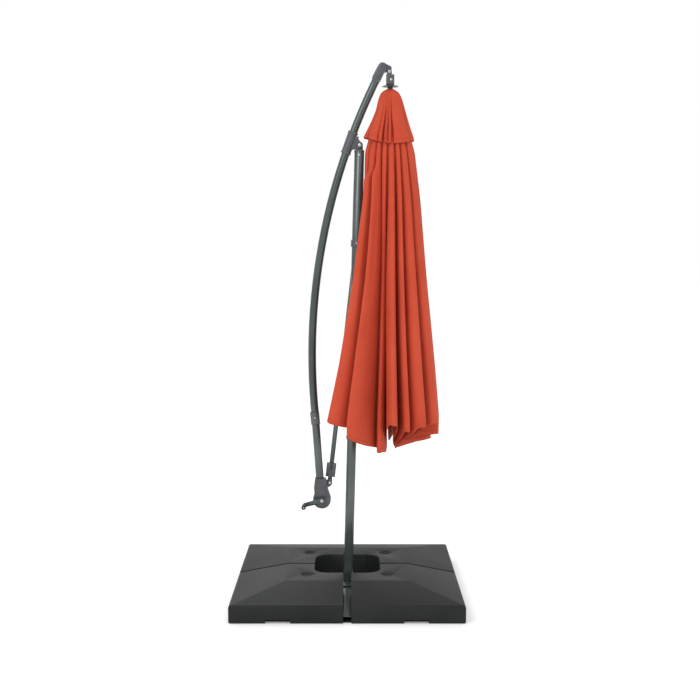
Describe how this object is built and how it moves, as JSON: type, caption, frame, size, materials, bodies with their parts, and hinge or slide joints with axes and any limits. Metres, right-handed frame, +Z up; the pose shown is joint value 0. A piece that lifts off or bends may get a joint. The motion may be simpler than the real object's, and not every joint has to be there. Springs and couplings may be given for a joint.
{
  "type": "cantilever parasol",
  "caption": "Closed cantilever parasol: bowed arm on a post, strut and crank, folded canopy on a hub, and a weighted square base.",
  "frame": {"origin": "on the ground at the centre of the base", "axes": "+Z up, +X from the bowed arm towards the canopy, the crank handle faces -Y"},
  "size_m": [1, 1, 2.3905],
  "materials": {
    "frame_metal": "satin powder coat",
    "joint_casting": "fine grained moulding",
    "base_plastic": "moulded, fine grain",
    "cap_plastic": "moulded",
    "bright_steel": "zinc plated",
    "rib_metal": "dark powder coat",
    "canopy_fabric": "woven polyester",
    "cord_fibre": "braided"
  },
  "bodies": {
    "base": {"foot_rail_left": "frame_metal", "foot_rail_long": "frame_metal", "foot_rail_right": "frame_metal", "post_cap": "joint_casting", "post_cap_screw": "bright_steel", "post_foot_flange": "frame_metal", "post_joint_spigot": "joint_casting", "post_lower": "frame_metal", "post_stop_ring": "joint_casting", "post_upper": "frame_metal", "sleeve_pin": "bright_steel", "weight_plate_front_left": "base_plastic", "weight_plate_front_right": "base_plastic", "weight_plate_rear_left": "base_plastic", "weight_plate_rear_right": "base_plastic"},
    "arm": {"arm_sleeve": "joint_casting", "sleeve_lock_knob": "joint_casting", "arm_upper_tube": "frame_metal", "arm_lower_tube": "frame_metal", "arm_joint_collar": "joint_casting", "arm_joint_screw": "bright_steel", "arm_elbow": "joint_casting", "elbow_pulley": "cap_plastic", "crank_housing_front": "joint_casting", "crank_housing_rear": "joint_casting", "lift_cord": "cord_fibre", "ear_pin": "bright_steel"},
    "crank": {"crank_shaft": "bright_steel", "crank_arm": "frame_metal", "crank_nut": "bright_steel", "crank_grip_pin": "bright_steel"},
    "grip": {"crank_grip": "cap_plastic"},
    "spool": {"cord_spool": "cap_plastic"},
    "collar": {"strut_collar": "joint_casting", "collar_screw": "bright_steel", "strut_top_bolt": "bright_steel"},
    "strut": {"strut_tube": "frame_metal", "strut_eye": "joint_casting", "strut_end_block": "joint_casting"},
    "canopy": {"hub_yoke": "joint_casting", "hub_pin": "bright_steel", "hub_screw": "bright_steel", "hub_plate": "joint_casting", "canopy_rod": "frame_metal", "rib_hub": "cap_plastic", "canopy_skin": "canopy_fabric", "canopy_vent": "canopy_fabric", "rib_1": "rib_metal", "rib_2": "rib_metal", "rib_3": "rib_metal", "rib_4": "rib_metal", "rib_5": "rib_metal", "rib_6": "rib_metal", "rib_7": "rib_metal", "rib_8": "rib_metal", "runner_with_stays": "rib_metal"},
    "cap_front_left": {"fill_cap_front_left": "cap_plastic"},
    "cap_front_right": {"fill_cap_front_right": "cap_plastic"},
    "cap_rear_left": {"fill_cap_rear_left": "cap_plastic"},
    "cap_rear_right": {"fill_cap_rear_right": "cap_plastic"}
  },
  "joints": [
    {"name": "arm_tilt", "type": "hinge", "parent": "base", "child": "arm", "pos_m": [0.0547, 0, 2.0294], "axis": [0, 1, 0], "range_deg": [0, 18]},
    {"name": "collar_slide", "type": "slide", "parent": "base", "child": "collar", "axis": [-0.0257, 0, -0.9997], "range_m": [0, 0.04]},
    {"name": "strut_swing", "type": "hinge", "parent": "collar", "child": "strut", "pos_m": [0.0415, 0.035, 1.592], "axis": [0, 1, 0], "range_deg": [0, 26]},
    {"name": "hub_swing", "type": "hinge", "parent": "arm", "child": "canopy", "pos_m": [0.1875, 0, 2.3511], "axis": [0, 1, 0], "range_deg": [-18.5, 0]},
    {"name": "crank_turn", "type": "hinge", "parent": "arm", "child": "crank", "pos_m": [-0.1165, 0, 0.422], "axis": [0, -1, 0], "continuous": true},
    {"name": "spool_turn", "type": "hinge", "parent": "arm", "child": "spool", "pos_m": [-0.1165, 0, 0.422], "axis": [0, -1, 0], "continuous": true},
    {"name": "grip_turn", "type": "hinge", "parent": "crank", "child": "grip", "pos_m": [-0.198, -0.06, 0.401], "axis": [0, -1, 0], "continuous": true},
    {"name": "cap_turn_front_left", "type": "hinge", "parent": "base", "child": "cap_front_left", "pos_m": [-0.18, -0.18, 0.1], "axis": [0, 0, 1], "range_deg": [0, 90]},
    {"name": "cap_turn_front_right", "type": "hinge", "parent": "base", "child": "cap_front_right", "pos_m": [0.18, -0.18, 0.1], "axis": [0, 0, 1], "range_deg": [0, 90]},
    {"name": "cap_turn_rear_left", "type": "hinge", "parent": "base", "child": "cap_rear_left", "pos_m": [-0.18, 0.18, 0.1], "axis": [0, 0, 1], "range_deg": [0, 90]},
    {"name": "cap_turn_rear_right", "type": "hinge", "parent": "base", "child": "cap_rear_right", "pos_m": [0.18, 0.18, 0.1], "axis": [0, 0, 1], "range_deg": [0, 90]}
  ],
  "couplings": [
    {"joint": "collar_slide", "follows": "arm_tilt", "m_per_rad": 0.12568},
    {"joint": "strut_swing", "follows": "arm_tilt", "ratio": 1.4239},
    {"joint": "hub_swing", "follows": "arm_tilt", "ratio": -1},
    {"joint": "spool_turn", "follows": "crank_turn", "ratio": 1}
  ]
}
